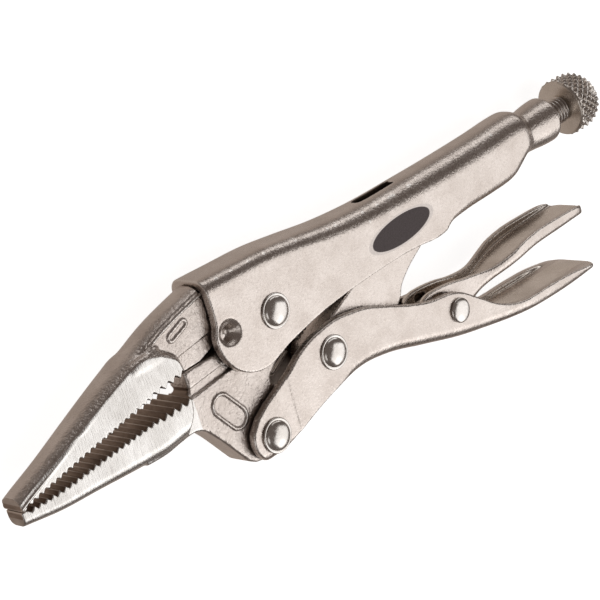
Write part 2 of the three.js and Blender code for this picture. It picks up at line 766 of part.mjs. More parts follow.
// The coils are one closed drum between two straight hook wires.
function tensionSpring() {
  const along = new THREE.Vector2(SPRING_REAR.x - SPRING_FRONT.x, SPRING_REAR.y - SPRING_FRONT.y);
  const length = along.length();
  const coilEnd = length - SPRING_REAR_HOOK;
  const points = [
    [0, 0],
    [SPRING_WIRE, 0],
    [SPRING_WIRE, SPRING_FRONT_HOOK],
    [SPRING_RADIUS, SPRING_FRONT_HOOK],
    [SPRING_RADIUS, coilEnd],
    [SPRING_WIRE, coilEnd],
    [SPRING_WIRE, length],
    [0, length],
  ].map(([radius, height]) => new THREE.Vector2(radius, height));
  const geometry = new THREE.LatheGeometry(points, 12);
  geometry.rotateZ(along.angle() - Math.PI / 2);
  geometry.translate(SPRING_FRONT.x, SPRING_FRONT.y, 0);
  return toSolid(geometry);
}

// ---- Assembly -----------------------------------------------------------------------------

const NICKEL = { color: 0xc9c0b8, roughness: 0.42, metalness: 0.95 };
const BRIGHT = { color: 0xe2dcd6, roughness: 0.2, metalness: 1 };
const DARK_STEEL = { color: 0x6d655e, roughness: 0.4, metalness: 1 };

const pieces = [
  ["upper_handle", upperHandle(), NICKEL],
  ["upper_jaw", upperJaw(), NICKEL],
  ["lower_jaw", lowerJaw(), NICKEL],
  ["lower_lever", lowerLever(), NICKEL],
  ["toggle_link", toggleLink(), NICKEL],
  ["release_lever", releaseLever(), NICKEL],
  ["adjusting_screw", adjustingScrew(), NICKEL],
  ["screw_knob", screwKnob(), NICKEL],
  ["tension_spring", tensionSpring(), DARK_STEEL],
  ["jaw_pivot_rivet", rivet(JAW_PIVOT, RIVET_RADIUS, RIVET_HEAD_RADIUS), BRIGHT],
  ["lever_jaw_rivet", rivet(LEVER_PIVOT, RIVET_RADIUS, RIVET_HEAD_RADIUS), BRIGHT],
  ["lever_link_rivet", rivet(LINK_PIVOT, RIVET_RADIUS, RIVET_HEAD_RADIUS), BRIGHT],
  ["release_rivet", rivet(RELEASE_PIVOT, RELEASE_RIVET_RADIUS, RELEASE_HEAD_RADIUS), BRIGHT],
];

const group = new THREE.Group();
for (const [name, solid, look] of pieces) {
  const mesh = new THREE.Mesh(toGeometry(solid), new THREE.MeshStandardMaterial(look));
  mesh.name = name;
  group.add(mesh);
}

const bounds = new THREE.Box3().setFromObject(group);
const middle = bounds.getCenter(new THREE.Vector3());
group.position.set(-middle.x, -middle.y, -bounds.min.z);
group.updateMatrixWorld(true);

export default group;
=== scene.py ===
"""Long-nose locking pliers, lying on their side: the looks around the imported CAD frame.

Shapes are worked out in millimetres from the jaw pivot: x runs towards the knob, y towards the spine
and z up along the pivots. Most pieces are signed distance fields turned into fine meshes.
"""
import math

import bpy
import numpy as np
from mathutils import Matrix, Vector


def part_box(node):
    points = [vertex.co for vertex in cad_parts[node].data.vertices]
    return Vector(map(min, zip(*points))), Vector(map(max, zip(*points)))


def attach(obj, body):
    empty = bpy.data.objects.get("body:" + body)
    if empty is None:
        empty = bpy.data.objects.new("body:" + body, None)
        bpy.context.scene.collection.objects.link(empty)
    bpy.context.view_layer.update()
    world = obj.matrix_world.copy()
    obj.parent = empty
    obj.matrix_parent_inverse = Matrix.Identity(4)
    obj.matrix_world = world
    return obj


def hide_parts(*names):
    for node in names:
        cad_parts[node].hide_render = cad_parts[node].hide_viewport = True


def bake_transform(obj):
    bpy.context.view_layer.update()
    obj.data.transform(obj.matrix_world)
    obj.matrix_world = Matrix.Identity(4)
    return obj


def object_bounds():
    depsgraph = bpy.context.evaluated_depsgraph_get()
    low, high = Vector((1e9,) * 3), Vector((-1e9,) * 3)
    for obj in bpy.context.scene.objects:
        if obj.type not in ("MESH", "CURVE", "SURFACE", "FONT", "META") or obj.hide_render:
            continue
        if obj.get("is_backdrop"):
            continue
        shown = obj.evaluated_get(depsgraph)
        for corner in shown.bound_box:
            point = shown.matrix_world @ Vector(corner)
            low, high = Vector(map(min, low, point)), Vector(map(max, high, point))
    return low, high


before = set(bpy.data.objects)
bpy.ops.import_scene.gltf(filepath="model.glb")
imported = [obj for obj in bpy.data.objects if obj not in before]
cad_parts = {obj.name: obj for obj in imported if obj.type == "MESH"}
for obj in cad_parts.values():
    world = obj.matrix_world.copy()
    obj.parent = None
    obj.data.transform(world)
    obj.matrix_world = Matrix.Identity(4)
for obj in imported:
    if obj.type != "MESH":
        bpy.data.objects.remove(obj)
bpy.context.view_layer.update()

MM = 0.001


def middle(node):
    low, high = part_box(node)
    return (low + high) / 2


PIVOT = middle("jaw_pivot_rivet")


def from_pivot(point):
    return (np.array(point) - np.array(PIVOT)) / MM


LEVER_PIVOT = from_pivot(middle("lever_jaw_rivet"))
LINK_PIVOT = from_pivot(middle("lever_link_rivet"))
RELEASE_PIVOT = from_pivot(middle("release_rivet"))
SCREW_AXIS_Y = from_pivot(middle("adjusting_screw"))[1]
TIP_X = from_pivot(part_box("upper_jaw")[0])[0]
COLLAR_END_X = from_pivot(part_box("upper_handle")[1])[0]
LEVER_TAIL_X = from_pivot(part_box("lower_lever")[1])[0]
LEVER_TAIL_HALF = from_pivot(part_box("lower_lever")[1])[2]
RELEASE_TAIL_X = from_pivot(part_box("release_lever")[1])[0]
RELEASE_TAIL_HALF = from_pivot(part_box("release_lever")[1])[2]
CHANNEL_HALF = from_pivot(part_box("upper_handle")[1])[2]
TONGUE_HALF = from_pivot(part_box("toggle_link")[1])[2]
SHEET = 2.5
RELEASE_SHEET = 1.8
RIVET_CLEARANCE = 0.15
MAIN_RIVET = {"shank": 3.0, "head": 4.75, "rim": 0.75, "crown": 1.5}
SMALL_RIVET = {"shank": 2.2, "head": 3.5, "rim": 0, "crown": 0.9}
MAIN_HOLE_RADIUS = MAIN_RIVET["shank"] + RIVET_CLEARANCE
SMALL_HOLE_RADIUS = SMALL_RIVET["shank"] + RIVET_CLEARANCE
SPRING_FRONT = (-3.6, -17.4)
SPRING_REAR = (45.5, 7.6)
THROAT_X = -31.0
TIP_HALF = 3.3
THROAT_HALF = 6.5

# Grid steps of the distance fields
SHEET_GRID = 0.3
JAW_GRID = 0.25
LINK_GRID = 0.35


# ---- Distance fields -------------------------------------------------------------------------

class Block:
    """A grid of sample points, in millimetres from the jaw pivot."""

    def __init__(self, low, high, step):
        self.low = np.array(low, np.float32)
        self.step = step
        counts = np.ceil((np.array(high) - self.low) / step).astype(int) + 1
        axes = [self.low[k] + step * np.arange(counts[k], dtype=np.float32) for k in range(3)]
        self.x, self.y, self.z = np.meshgrid(*axes, indexing="ij", sparse=True)


def both(a, b, radius=0.0):
    """What is inside two fields, with the edge between them rounded."""
    if np.max(radius) <= 0:
        return np.maximum(a, b)
    corner = np.hypot(np.maximum(a + radius, 0), np.maximum(b + radius, 0))
    return np.minimum(np.maximum(a, b), -radius) + corner


def either(a, b, radius=0.0):
    """What is inside one field or the other, with the corner between them filled."""
    return -both(-a, -b, radius)


def less(a, b, radius=0.0):
    return both(a, -b, radius)


def step_up(value, start, end):
    t = np.clip((value - start) / (end - start), 0, 1)
    return t * t * (3 - 2 * t)


def height_at(stations, x):
    """A smooth line through stations of x and y, read at x."""
    xs, ys = np.array(stations, float).T
    slopes = np.gradient(ys, xs)
    x = np.asarray(x, float)
    i = np.clip(np.searchsorted(xs, x) - 1, 0, len(xs) - 2)
    width = xs[i + 1] - xs[i]
    t = np.clip((x - xs[i]) / width, 0, 1)
    start = ys[i] * (2 * t**3 - 3 * t**2 + 1) + width * slopes[i] * (t**3 - 2 * t**2 + t)
    end = ys[i + 1] * (3 * t**2 - 2 * t**3) + width * slopes[i + 1] * (t**3 - t**2)
    return start + end


def above_line(stations, x, y):
    """Distance above a gently sloping line."""
    reach = 0.5
    slope = (height_at(stations, x + reach) - height_at(stations, x - reach)) / (2 * reach)
    return (y - height_at(stations, x)) / np.sqrt(1 + slope**2)


def through(points, per_span=8):
    """A smooth curve through points, as a fine list of points."""
    p = np.array(points, float)
    p = np.vstack([2 * p[0] - p[1], p, 2 * p[-1] - p[-2]])
    t = np.linspace(0, 1, per_span, endpoint=False)[:, None]
    curve = []
    for a, b, c, d in zip(p, p[1:], p[2:], p[3:]):
        curve.append(0.5 * (2 * b + (c - a) * t + (2 * a - 5 * b + 4 * c - d) * t**2
                            + (3 * b - a - 3 * c + d) * t**3))
    return [tuple(point) for point in np.vstack(curve + [p[-2:-1]])]


def arc(centre, radius, start, end, steps=16):
    angles = np.radians(np.linspace(start, end, steps + 1))
    return [(centre[0] + radius * math.cos(a), centre[1] + radius * math.sin(a)) for a in angles]


def inside_outline(points, x, y):
    """Signed distance to a closed outline, less than 0 inside."""
    points = np.array(points, np.float32)
    nearest = np.full(np.broadcast(x, y).shape, 1e9, np.float32)
    inside = np.zeros(nearest.shape, bool)
    for (ax, ay), (bx, by) in zip(points, np.roll(points, -1, axis=0)):
        ex, ey = bx - ax, by - ay
        length = max(ex * ex + ey * ey, 1e-9)
        t = np.clip(((x - ax) * ex + (y - ay) * ey) / length, 0, 1)
        nearest = np.minimum(nearest, (x - ax - t * ex) ** 2 + (y - ay - t * ey) ** 2)
        if ay != by:
            crossing = (ay > y) != (by > y)
            inside ^= crossing & (x < ax + (y - ay) * ex / (by - ay))
    distance = np.sqrt(nearest)
    return np.where(inside, -distance, distance)


def round_bar(x, y, start, end, radius):
    """Distance to a stadium between two points."""
    (ax, ay), (bx, by) = start, end
    ex, ey = bx - ax, by - ay
    t = np.clip(((x - ax) * ex + (y - ay) * ey) / (ex * ex + ey * ey), 0, 1)
    return np.hypot(x - ax - t * ex, y - ay - t * ey) - radius


def pin(block, centre, radius):
    return np.hypot(block.x - centre[0], block.y - centre[1]) - radius


def cell_corners(field):
    return [field[i:field.shape[0] - 1 + i, j:field.shape[1] - 1 + j, k:field.shape[2] - 1 + k]
            for i in (0, 1) for j in (0, 1) for k in (0, 1)]


EDGES = [(0, 1), (2, 3), (4, 5), (6, 7), (0, 2), (1, 3), (4, 6), (5, 7), (0, 4), (1, 5), (2, 6), (3, 7)]
CORNERS = np.array([(i, j, k) for i in (0, 1) for j in (0, 1) for k in (0, 1)], float)


def surface(field):
    """Points and quads of the surface where the field is 0, in grid steps, by surface nets."""
    corners = cell_corners(field)
    negative = sum((c < 0).astype(np.int8) for c in corners)
    cells = np.argwhere((negative > 0) & (negative < 8))
    values = np.stack([c[tuple(cells.T)] for c in corners], axis=1).astype(float)
    total = np.zeros((len(cells), 3))
    count = np.zeros((len(cells), 1))
    for a, b in EDGES:
        crossed = (values[:, a] < 0) != (values[:, b] < 0)
        gap = np.where(crossed, values[:, a] - values[:, b], 1)
        share = np.where(crossed, values[:, a] / gap, 0)[:, None]
        place = CORNERS[a] + share * (CORNERS[b] - CORNERS[a])
        total += np.where(crossed[:, None], place, 0)
        count += crossed[:, None]
    points = cells + total / count
    number = np.full(field.shape, -1, np.int64)
    number[tuple(cells.T)] = np.arange(len(cells))
    return points, net_quads(field < 0, number)


def net_quads(solid, number):
    quads = []
    for axis in range(3):
        u, v = (axis + 1) % 3, (axis + 2) % 3
        ahead = np.roll(solid, -1, axis)
        crossed = solid != ahead
        crossed[tuple(-1 if k == axis else slice(None) for k in range(3))] = False
        place = np.argwhere(crossed)
        place = place[(place[:, u] > 0) & (place[:, v] > 0)]
        ring = []
        for du, dv in ((0, 0), (1, 0), (1, 1), (0, 1)):
            cell = place.copy()
            cell[:, u] -= du
            cell[:, v] -= dv
            ring.append(number[tuple(cell.T)])
        quad = np.stack(ring, axis=1)
        outward = solid[tuple(place.T)]
        quads.append(np.where(outward[:, None], quad, quad[:, ::-1]))
    return np.vstack(quads)


def read_field(field, points):
    """The field and its slope at points given in grid steps."""
    base = np.clip(points.astype(int), 0, np.array(field.shape) - 2)
    part = points - base
    value = np.zeros(len(points))
    slope = np.zeros((len(points), 3))
    for corner in CORNERS.astype(int):
        sample = field[tuple((base + corner).T)].astype(float)
        weights = np.where(corner == 1, part, 1 - part)
        value += sample * weights.prod(axis=1)
        for k in range(3):
            others = weights[:, (k + 1) % 3] * weights[:, (k + 2) % 3]
            slope[:, k] += sample * others * (1 if corner[k] else -1)
    return value, slope


def settle(field, points, rounds=3):
    """Moves net points on to the surface, by at most a third of a step each round."""
    for _ in range(rounds):
        value, slope = read_field(field, points)
        length = np.maximum((slope**2).sum(axis=1), 1e-9)
        move = -(value / length)[:, None] * slope
        size = np.linalg.norm(move, axis=1, keepdims=True)
        points = points + move * np.minimum(1, 0.33 / np.maximum(size, 1e-9))
    return points


# ---- Pieces from meshes ----------------------------------------------------------------------

def make_piece(name, points, faces, body, node, materials, choose=None):
    """A smooth mesh piece; choose gives each face's material from its middle and its normal."""
    mesh = bpy.data.meshes.new(name)
    mesh.from_pydata((np.array(points) * MM + np.array(PIVOT)).tolist(), [],
                     [[int(corner) for corner in face] for face in faces])
    mesh.validate()
    for material in materials:
        mesh.materials.append(material)
    mesh.polygons.foreach_set("use_smooth", [True] * len(mesh.polygons))
    if choose is not None:
        centres = np.empty(len(mesh.polygons) * 3)
        normals = np.empty(len(mesh.polygons) * 3)
        mesh.polygons.foreach_get("center", centres)
        mesh.polygons.foreach_get("normal", normals)
        index = choose(from_pivot(centres.reshape(-1, 3)), normals.reshape(-1, 3))
        mesh.polygons.foreach_set("material_index", index.astype(np.int32))
    mesh.update()
    piece = bpy.data.objects.new(name, mesh)
    bpy.context.scene.collection.objects.link(piece)
    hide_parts(node)
    if body is not None:
        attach(piece, body)
    return piece


def solid_piece(name, block, field, body, node, materials, choose=None):
    field = np.broadcast_to(field, np.broadcast(block.x, block.y, block.z).shape).astype(np.float32)
    points, quads = surface(field)
    points = settle(field, points) * block.step + block.low
    return make_piece(name, points, quads, body, node, materials, choose)


def turned(profile, sides, wave=None):
    """Points and faces of a closed turned shape about x; wave gives the radius a relief."""
    profile = np.array(profile, float)
    angles = np.linspace(0, 2 * math.pi, sides, endpoint=False)
    x = np.repeat(profile[:, 0], sides).reshape(-1, sides)
    radius = np.repeat(profile[:, 1], sides).reshape(-1, sides)
    angle = np.tile(angles, (len(profile), 1))
    if wave is not None:
        radius = radius + wave(x, angle, radius)
    points = np.stack([x, radius * np.cos(angle), radius * np.sin(angle)], axis=2).reshape(-1, 3)
    faces = []
    for ring in range(len(profile) - 1):
        for side in range(sides):
            after = (side + 1) % sides
            a, b = ring * sides + side, ring * sides + after
            faces.append((a, b, b + sides, a + sides))
    first = len(points)
    points = np.vstack([points, [profile[0, 0], 0, 0], [profile[-1, 0], 0, 0]])
    last_ring = (len(profile) - 1) * sides
    for side in range(sides):
        after = (side + 1) % sides
        faces.append((first, after, side))
        faces.append((first + 1, last_ring + side, last_ring + after))
    return points, faces


# ---- Materials -------------------------------------------------------------------------------

def new_material(name):
    material = bpy.data.materials.new(name)
    material.use_nodes = True
    return material, material.node_tree.nodes, material.node_tree.links


def noise(nodes, links, coordinates, scale, detail, stretch=(1, 1, 1)):
    """Noise with its scale in cycles per millimetre, stretched along the axes."""
    mapping = nodes.new("ShaderNodeMapping")
    mapping.inputs["Scale"].default_value = [scale / MM * s for s in stretch]
    texture = nodes.new("ShaderNodeTexNoise")
    texture.inputs["Scale"].default_value = 1
    texture.inputs["Detail"].default_value = detail
    texture.inputs["Roughness"].default_value = 0.6
    links.new(coordinates, mapping.inputs["Vector"])
    links.new(mapping.outputs["Vector"], texture.inputs["Vector"])
    return texture.outputs["Fac"]


def spread(nodes, links, value, low, high, from_low=0.0, from_high=1.0):
    ramp = nodes.new("ShaderNodeMapRange")
    ramp.inputs["From Min"].default_value = from_low
    ramp.inputs["From Max"].default_value = from_high
    ramp.inputs["To Min"].default_value = low
    ramp.inputs["To Max"].default_value = high
    links.new(value, ramp.inputs["Value"])
    return ramp.outputs["Result"]


def blend_colours(nodes, links, share, first, second):
    mix = nodes.new("ShaderNodeMix")
    mix.data_type = "RGBA"
    for socket, colour in (("A", first), ("B", second)):
        target = [s for s in mix.inputs if s.name == socket and s.type == "RGBA"][0]
        if isinstance(colour, tuple):
            target.default_value = (*colour, 1)
        else:
            links.new(colour, target)
    links.new(share, mix.inputs["Factor"])
    return [s for s in mix.outputs if s.type == "RGBA"][0]


def metal(name, light, dark, roughness, grain, depth, stretch=(1, 1, 1), edge_wear_and_highlight=None, badge=None):
    """Plated or bare metal: blotchy colour, uneven gloss and a grain of its own size and depth; with an edge
    colour given, convex edges and crests get edge wear with a painted highlight, and creases get painted
    shade.
    """
    material, nodes, links = new_material(name)
    shader = nodes["Principled BSDF"]
    shader.inputs["Metallic"].default_value = 1
    place = nodes.new("ShaderNodeTexCoord").outputs["Object"]
    blotches = spread(nodes, links, noise(nodes, links, place, 0.12, 3), 0, 1, 0.35, 0.65)
    speckle = noise(nodes, links, place, grain, 2, stretch)
    colour = blend_colours(nodes, links, blotches, light, dark)
    colour = blend_colours(nodes, links, spread(nodes, links, speckle, 0.0, 0.35, 0.55, 0.75), colour, dark)
    if edge_wear_and_highlight is not None:
        edges = nodes.new("ShaderNodeNewGeometry").outputs["Pointiness"]
        # Edge wear with a painted highlight: convex edges and tooth or knurl crests are lightened towards the
        # edge colour.
        colour = blend_colours(nodes, links, spread(nodes, links, edges, 0, 0.8, 0.51, 0.56), colour, edge_wear_and_highlight)
        # Painted shade: concave creases, tooth roots and knurl grooves are darkened to 0.45 of the dark
        # colour.
        colour = blend_colours(nodes, links, spread(nodes, links, edges, 0.8, 0, 0.42, 0.49), colour,
                               tuple(0.45 * c for c in dark))
    if badge is not None:
        colour = add_badge(nodes, links, place, colour, badge)
    links.new(colour, shader.inputs["Base Color"])
    gloss = spread(nodes, links, speckle, roughness - 0.06, roughness + 0.08, 0.3, 0.7)
    links.new(gloss, shader.inputs["Roughness"])
    bump = nodes.new("ShaderNodeBump")
    bump.inputs["Strength"].default_value = 1
    bump.inputs["Distance"].default_value = depth * MM
    links.new(speckle, bump.inputs["Height"])
    links.new(bump.outputs["Normal"], shader.inputs["Normal"])
    return material


def add_badge(nodes, links, place, colour, badge):
    """A plain dark oval with a pale rim on the near cheek."""
    mapping = nodes.new("ShaderNodeMapping")
    mapping.vector_type = "TEXTURE"
    centre = np.array(PIVOT) + np.array([*badge["centre"], CHANNEL_HALF]) * MM
    mapping.inputs["Location"].default_value = centre
    mapping.inputs["Rotation"].default_value = (0, 0, math.radians(badge["turn"]))
    mapping.inputs["Scale"].default_value = [s * MM for s in (*badge["half"], 1.5)]
    length = nodes.new("ShaderNodeVectorMath")
    length.operation = "LENGTH"
    links.new(place, mapping.inputs["Vector"])
    links.new(mapping.outputs["Vector"], length.inputs[0])
    inside = spread(nodes, links, length.outputs["Value"], 1, 0, 0.97, 1.0)
    rim = spread(nodes, links, length.outputs["Value"], 1, 0, 0.86, 0.88)
    colour = blend_colours(nodes, links, inside, colour, badge["rim"])
    return blend_colours(nodes, links, rim, colour, badge["fill"])


NICKEL_LIGHT = (0.70, 0.635, 0.59)
NICKEL_DARK = (0.60, 0.535, 0.49)
BADGE = {"centre": (49.2, 0.4), "half": (13.3, 4.4), "turn": 1.5,
         "rim": (0.55, 0.5, 0.47), "fill": (0.06, 0.05, 0.05)}
# Edge colour of the satin skins: edge wear plus a painted highlight on convex edges, which also brings
# painted shade into the creases.
SATIN_EDGE_WEAR_AND_HIGHLIGHT = (0.90, 0.86, 0.82)
satin = metal("satin_nickel_skin", NICKEL_LIGHT, NICKEL_DARK, 0.28, 1.6, 0.085, edge_wear_and_highlight=SATIN_EDGE_WEAR_AND_HIGHLIGHT)
handle_skin = metal("handle_skin", NICKEL_LIGHT, NICKEL_DARK, 0.28, 1.6, 0.085, edge_wear_and_highlight=SATIN_EDGE_WEAR_AND_HIGHLIGHT, badge=BADGE)
forged = metal("forged_skin", NICKEL_LIGHT, NICKEL_DARK, 0.33, 1.2, 0.2, edge_wear_and_highlight=SATIN_EDGE_WEAR_AND_HIGHLIGHT)
# Painted shade: a dark brown skin for faces inside the channels, standing for the shade that falls there.
inside_shade_skin = metal("inside_shade_skin", (0.24, 0.195, 0.165), (0.15, 0.12, 0.10), 0.5, 1.5, 0.06)
ground = metal("ground_flats", (0.83, 0.81, 0.785), (0.68, 0.655, 0.625), 0.25, 3.6, 0.06, (1, 0.06, 1))
cut_end = metal("cut_end", (0.55, 0.48, 0.43), (0.36, 0.31, 0.27), 0.4, 3.0, 0.05, (1, 0.1, 1.2))
# Painted shade: the tooth rows are coloured dark brown for the shade between the teeth, and their crests get
# the painted highlight.
tooth_shade_skin = metal("tooth_gap_shade", (0.36, 0.28, 0.23), (0.22, 0.165, 0.13), 0.4, 1.5, 0.04, (1, 1, 0.2),
                   edge_wear_and_highlight=(0.85, 0.76, 0.68))
bright = metal("bright_nickel_skin", (0.80, 0.77, 0.74), (0.70, 0.66, 0.62), 0.22, 1.2, 0.02)
trough_skin = metal("trough_skin", (0.82, 0.76, 0.70), (0.68, 0.62, 0.56), 0.24, 1.5, 0.03, edge_wear_and_highlight=SATIN_EDGE_WEAR_AND_HIGHLIGHT)
knurled = metal("knurl_skin", (0.78, 0.73, 0.68), (0.52, 0.46, 0.41), 0.24, 1.5, 0.02,
                edge_wear_and_highlight=(0.92, 0.89, 0.86))
knob_face = metal("knob_face_skin", (0.72, 0.66, 0.60), (0.62, 0.56, 0.50), 0.3, 2.0, 0.01)
thread_skin = metal("thread_skin", (0.66, 0.60, 0.55), (0.42, 0.36, 0.32), 0.28, 1.5, 0.02,
                    edge_wear_and_highlight=(0.9, 0.86, 0.82))
wire = metal("spring_wire_skin", (0.86, 0.82, 0.78), (0.60, 0.55, 0.50), 0.3, 1.8, 0.015)


# ---- Upper handle ----------------------------------------------------------------------------

SPINE = [(-24, 17.3), (-18.9, 17.1), (-8, 16.5), (4, 15.8), (15, 14.3), (27, 12.5), (40, 11.4), (60, 11.1),
         (90, 11.1), (103, 11.4), (112, 10.6)]
HANDLE_FRONT_X = -18.9
BODY_END_X = 109.6
NECK = [(90, 6.0), (105, 6.0), (108, 5.9), (111, 6.1), (114.5, 6.5), (130, 6.5)]
NECK_MIDDLE_X = 110
HOLLOW_END_X = 103
SCREW_BORE_RADIUS = 4.3
DIMPLE = (-15.9, 1.6)
SLOT_MIDDLE_X = 49.15
SLOT_HALF_LENGTH = 7.35
SLOT_HALF_WIDTH = 1.6
SLOT_FLOOR_Y = 6


def cheek_outline():
    lobe = arc((-7.7, 0.4), 12.8, 176, 293, 40)
    lower = through([(-2.6, -11.4), (2.5, -9.9), (13.6, -7.9), (24, -6.9), (34, -6.5), (45.8, -6.4),
                     (54.2, -6.9), (60.5, -7.7), (65.4, -7.7), (67.6, -6.8), (70, -6.3), (76, -6.3),
                     (88, -6.3), (94.3, -6.1), (98, -5.4), (101.4, -3.7), (104.3, -2.1), (107, -1.3),
                     (112, -1.2)])
    front = [(HANDLE_FRONT_X, 40), (HANDLE_FRONT_X, 8), (HANDLE_FRONT_X - 0.4, 4.6)]
    return [*front, *lobe, *lower[1:], (112, 40)]


def handle_field(b):
    """The folded shell: a square-shouldered channel in front that turns into a tube with open edges."""
    rear = step_up(b.x, -5, 75)
    shoulder = 3.9 + 2.7 * rear
    side = abs(b.z) - CHANNEL_HALF
    body = both(above_line(SPINE, b.x, b.y), side, shoulder)
    body = both(body, b.x - BODY_END_X, 6.0)
    outline = inside_outline(cheek_outline(), b.x, b.y)
    curl = step_up(b.x, 58, 80)
    body = both(body, outline, 0.45 + 3.2 * curl)
    hollow = both(above_line(SPINE, b.x, b.y), side + 0.9 * curl, shoulder)
    hollow = both(hollow + SHEET, b.x - HOLLOW_END_X, 1.5)
    from_axis = np.hypot(b.y - SCREW_AXIS_Y, b.z)
    along_neck = abs(b.x - NECK_MIDDLE_X) - (COLLAR_END_X - NECK_MIDDLE_X)
    neck = both(from_axis - height_at(NECK, b.x), along_neck, 1.2)
    shell = less(body, hollow, 0.2)
    shell = either(shell, neck, 0.7)
    shell = less(shell, from_axis - SCREW_BORE_RADIUS, 0.3)
    slot = both(abs(b.x - SLOT_MIDDLE_X) - SLOT_HALF_LENGTH, abs(b.z) - SLOT_HALF_WIDTH, 1.2)
    shell = less(shell, both(slot, SLOT_FLOOR_Y - b.y), 0.3)
    return dimples(b, less(shell, pin(b, (0, 0), MAIN_HOLE_RADIUS), 0.2))


def dimples(b, shell):
    """Staked dimples: a shallow bowl from outside with a deeper core, and its bump inside."""
    depth = abs(b.z)
    around = pin(b, DIMPLE, 0)
    bowl = 5.1 - np.hypot(around, depth - CHANNEL_HALF - 3.6)
    core = pin(b, (DIMPLE[0] + 0.6, DIMPLE[1] - 0.5), 0) - 1.0 - (depth - 4.3) * 0.75
    core = both(core * 0.78, 4.2 - depth, 0.6)
    burr = both(pin(b, (DIMPLE[0] - 1.4, DIMPLE[1] - 0.2), 0) - 0.9, depth - 6.2, 0.7)
    bump = both((around - 2.4 - (depth - 3.4) * 0.7) * 0.8, both(3.4 - depth, depth - 6.6))
    shell = less(either(shell, bump, 0.2), -bowl, 0.3)
    return either(less(shell, core, 0.3), burr, 0.4)


def inside_faces(centres, normals):
    """Picks the painted-shade skin for the inside of the handle: its inner faces are coloured dark to stand
    for the shade inside the channel.
    """
    y, z = centres[:, 1], centres[:, 2]
    under_spine = (normals[:, 1] < -0.4) & (abs(z) < CHANNEL_HALF - SHEET) & (y > 6)
    return np.where((normals[:, 2] * np.sign(z) < -0.3) | under_spine, 1, 0)


def build_handle():
    block = Block((-22, -14, -8), (COLLAR_END_X + 1, 19, 8), SHEET_GRID)
    solid_piece("handle_shell", block, handle_field(block), "frame_body", "upper_handle",
                [handle_skin, inside_shade_skin], inside_faces)


# ---- Jaws ------------------------------------------------------------------------------------

RIDGE = [(-93, -10), (-87.7, -7.6), (-76.4, -3.4), (-65, 1.2), (-54.8, 5.2), (-48, 7.6), (-42.3, 9.6),
         (-35.5, 12.1), (-23.5, 15.1), (-18, 16.2)]
UPPER_CRESTS = [(-87.7, -11.0), (-74.7, -8.7), (-61.1, -6.3), (-43.5, -3.3), (-31, -1.9)]
LOWER_CRESTS = [(-87.7, -11.02), (-74.7, -10.9), (-61.1, -9.6), (-43.5, -8.3), (-31, -7.8)]
LOWER_BOTTOM = [(-93, -14.2), (-87.7, -15.0), (-76.4, -16.8), (-65, -17.6), (-50.3, -18.7), (-43.5, -19),
                (-36, -18.4), (-30.6, -19.4)]
FINE_PITCH, FINE_DEPTH = 1.92, 1.05
COARSE_PITCH, COARSE_DEPTH, COARSE_TEETH = 2.5, 1.6, 5
TONGUE_TOP_Y = -2.5
JAW_GAP = 0.4
JAW_BOSS_RADIUS = 8.8
RIDGE_HALF = 0.9
HOOK_NOTCH_RADIUS = 2.1


def tooth_line(crests, direction, end_x):
    """The toothed edge from tip to throat, with its roots away from the crest line."""
    land = TIP_X + 1.4
    points = [(TIP_X - 6, height_at(crests, TIP_X)), (land, height_at(crests, land))]
    coarse_start = end_x - COARSE_TEETH * COARSE_PITCH
    fine = int((coarse_start - land) / FINE_PITCH)
    rows = [(coarse_start - fine * FINE_PITCH, fine, FINE_PITCH, FINE_DEPTH),
            (coarse_start, COARSE_TEETH, COARSE_PITCH, COARSE_DEPTH)]
    for start, count, pitch, depth in rows:
        for tooth in range(count):
            root = start + (tooth + 0.45) * pitch
            crest = start + (tooth + 1) * pitch
            points.append((root, height_at(crests, root) + direction * depth))
            points.append((crest, height_at(crests, crest)))
    return [(x, float(y)) for x, y in points]


def ground_half(x):
    """Half thickness between the ground flats."""
    share = (x - TIP_X) / (THROAT_X - TIP_X)
    return TIP_HALF + (THROAT_HALF - TIP_HALF) * np.clip(share, 0, 1.2)


def ridge_surface(b, half, drop):
    """The jaw's top: a flat strip along the middle that crowns down to each side."""
    share = np.clip((abs(b.z) - RIDGE_HALF) / (half - RIDGE_HALF), 0, 1.2)
    return 0.9 * (above_line(RIDGE, b.x, b.y) + drop * share**2)


def raised_ring(b, start, end, radius):
    edge = abs(round_bar(b.x, b.y, start, end, radius))
    return 0.35 * (1 - step_up(edge, 0.2, 0.6))


